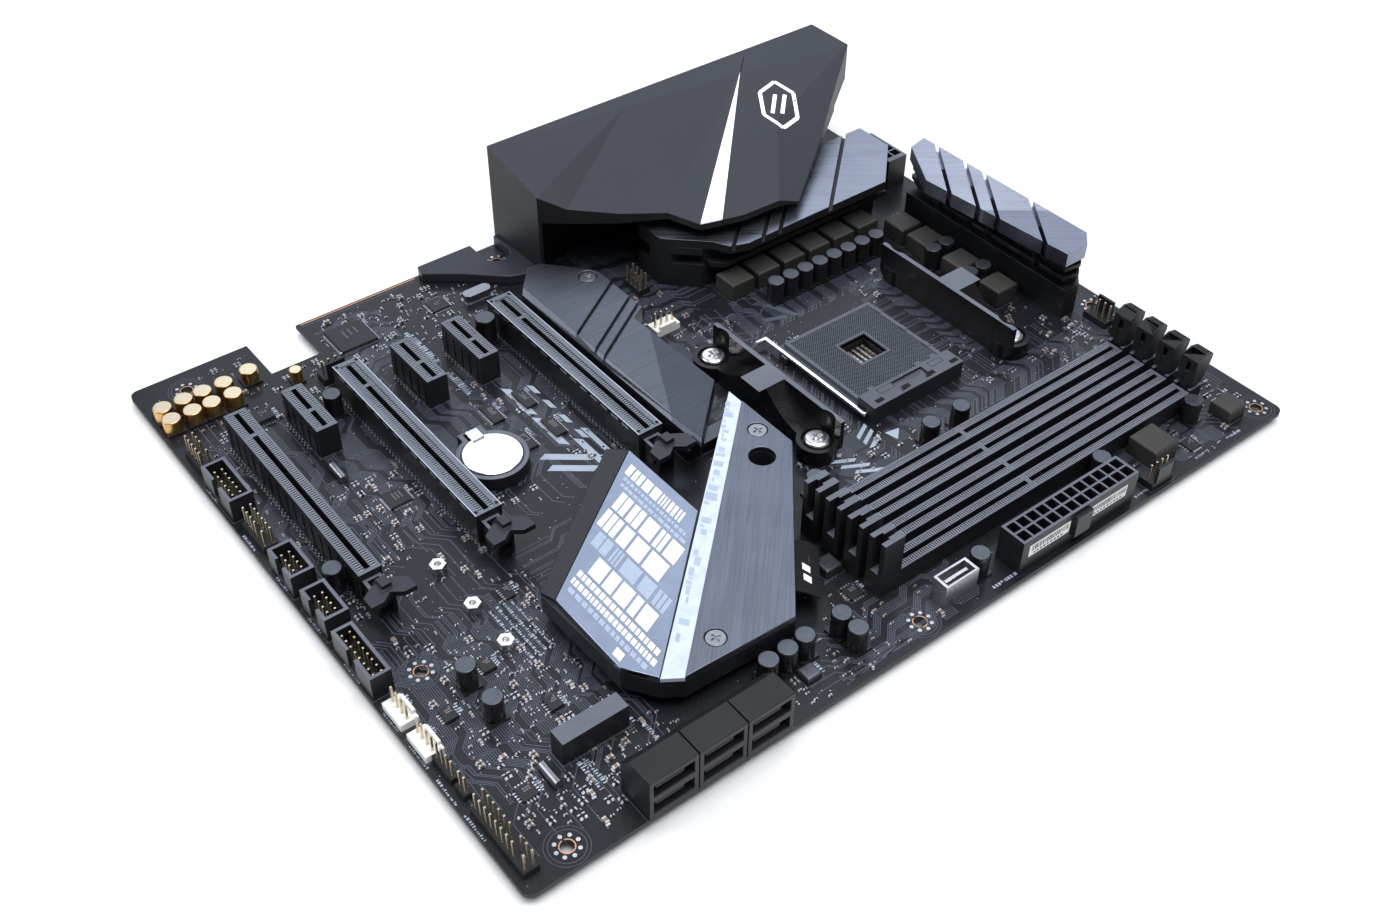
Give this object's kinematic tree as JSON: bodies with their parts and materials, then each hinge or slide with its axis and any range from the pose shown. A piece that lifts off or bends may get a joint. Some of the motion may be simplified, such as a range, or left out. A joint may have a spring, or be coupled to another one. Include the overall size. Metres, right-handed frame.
{
  "type": "computer motherboard",
  "caption": "Full-size computer motherboard with processor socket, memory and expansion slots, finned heatsinks, a covered rear connector bank and working latches.",
  "frame": {"origin": "centre of the rectangle of the four outer mounting holes, on the board's solder side", "axes": "+X from the rear connector edge to the front edge, +Y from the bottom (header) edge to the top edge, +Z out of the component side"},
  "size_m": [0.2472, 0.305, 0.0462],
  "materials": {
    "board_black": "solder mask over copper",
    "brushed_aluminium": "brushed, grey anodised",
    "cap_can": "sleeved can, bare top",
    "cell_steel": "polished",
    "chip_black": "moulded epoxy",
    "choke_alloy": "pressed ferrite alloy",
    "cover_plastic": "fine grained, satin",
    "dark_aluminium": "bead blasted, dark anodised",
    "gold_can": "satin",
    "header_plastic": "moulded",
    "light_diffuser": "milky diffuser",
    "mirror_plate": "polished with etched line pattern",
    "port_shell": "nickel plated",
    "screw_steel": "plated",
    "shield_steel": "matte black",
    "slot_plastic": "moulded",
    "socket_plastic": "moulded",
    "steel_plate": "stamped, bright",
    "thermal_pad": "soft pad",
    "white_nylon": "moulded",
    "wire_steel": "bright"
  },
  "bodies": {
    "board": {"atx_power_socket": "slot_plastic", "audio_jacks": "header_plastic", "battery_clip": "screw_steel", "battery_holder": "slot_plastic", "black_capacitors": "cap_can", "chipset_chip": "chip_black", "chipset_cover_plate": "brushed_aluminium", "chipset_heatsink": "dark_aluminium", "chipset_light_strip": "light_diffuser", "chokes": "choke_alloy", "coin_cell": "cell_steel", "cooler_bracket_lower": "slot_plastic", "cooler_bracket_screws": "screw_steel", "cooler_bracket_upper": "slot_plastic", "cover_screws": "screw_steel", "cpu_backplate": "steel_plate", "cpu_socket_base": "socket_plastic", "crystals": "cell_steel", "dimm_slots": "slot_plastic", "display_ports": "port_shell", "eps_power_socket": "slot_plastic", "fan_headers": "header_plastic", "front_usb_c_header": "port_shell", "gold_capacitors": "gold_can", "heatsink_screws": "screw_steel", "ic_packages": "chip_black", "io_cover": "cover_plastic", "io_cover_light_strip": "light_diffuser", "io_cover_skirt": "cover_plastic", "io_shield": "shield_steel", "lan_usb_port": "port_shell", "lower_cover_plate": "mirror_plate", "m2_heatsink": "brushed_aluminium", "m2_sockets": "header_plastic", "m2_standoffs": "gold_can", "mosfets": "chip_black", "pcb": "board_black", "pcie_armour": "steel_plate", "pcie_x16_slots": "slot_plastic", "pcie_x1_slots": "slot_plastic", "pin_headers": "header_plastic", "ps2_usb_port": "port_shell", "rgb_headers": "white_nylon", "sata_ports": "header_plastic", "shrouded_headers": "header_plastic", "small_inductors": "cap_can", "usb_a_ports": "port_shell", "usb_c_port": "port_shell", "vrm_heatsink_rear": "dark_aluminium", "vrm_heatsink_top": "dark_aluminium", "vrm_thermal_pads": "thermal_pad"},
    "cpu_socket_lever_body": {"cpu_socket_lever": "wire_steel"},
    "cpu_socket_cover_body": {"cpu_socket_cover": "socket_plastic"},
    "dimm_latch_1_body": {"dimm_latch_1": "slot_plastic"},
    "dimm_latch_2_body": {"dimm_latch_2": "slot_plastic"},
    "dimm_latch_3_body": {"dimm_latch_3": "slot_plastic"},
    "dimm_latch_4_body": {"dimm_latch_4": "slot_plastic"},
    "pcie_latch_1_body": {"pcie_latch_1": "slot_plastic"},
    "pcie_latch_2_body": {"pcie_latch_2": "slot_plastic"},
    "pcie_latch_3_body": {"pcie_latch_3": "slot_plastic"}
  },
  "joints": [
    {"name": "cpu_lever_hinge", "type": "hinge", "parent": "board", "child": "cpu_socket_lever_body", "pos_m": [0.03798, 0.03227, 0.0046], "axis": [0, 1, 0], "range_deg": [0, 90]},
    {"name": "cpu_cover_slide", "type": "slide", "parent": "board", "child": "cpu_socket_cover_body", "axis": [-1, 0, 0], "range_m": [0, 0.0011]},
    {"name": "dimm_latch_1_hinge", "type": "hinge", "parent": "board", "child": "dimm_latch_1_body", "pos_m": [0.06797, 0.12372, 0.0056], "axis": [-1, 0, 0], "range_deg": [0, 35]},
    {"name": "dimm_latch_2_hinge", "type": "hinge", "parent": "board", "child": "dimm_latch_2_body", "pos_m": [0.0775, 0.12372, 0.0056], "axis": [-1, 0, 0], "range_deg": [0, 35]},
    {"name": "dimm_latch_3_hinge", "type": "hinge", "parent": "board", "child": "dimm_latch_3_body", "pos_m": [0.08703, 0.12372, 0.0056], "axis": [-1, 0, 0], "range_deg": [0, 35]},
    {"name": "dimm_latch_4_hinge", "type": "hinge", "parent": "board", "child": "dimm_latch_4_body", "pos_m": [0.09655, 0.12372, 0.0056], "axis": [-1, 0, 0], "range_deg": [0, 35]},
    {"name": "pcie_latch_1_hinge", "type": "hinge", "parent": "board", "child": "pcie_latch_1_body", "pos_m": [0.01498, -0.03568, 0.005], "axis": [0, 1, 0], "range_deg": [0, 18]},
    {"name": "pcie_latch_2_hinge", "type": "hinge", "parent": "board", "child": "pcie_latch_2_body", "pos_m": [0.01498, -0.09664, 0.005], "axis": [0, 1, 0], "range_deg": [0, 18]},
    {"name": "pcie_latch_3_hinge", "type": "hinge", "parent": "board", "child": "pcie_latch_3_body", "pos_m": [0.01498, -0.13728, 0.005], "axis": [0, 1, 0], "range_deg": [0, 18]}
  ],
  "couplings": [
    {"joint": "cpu_cover_slide", "follows": "cpu_lever_hinge", "m_per_rad": 0.0006366}
  ]
}
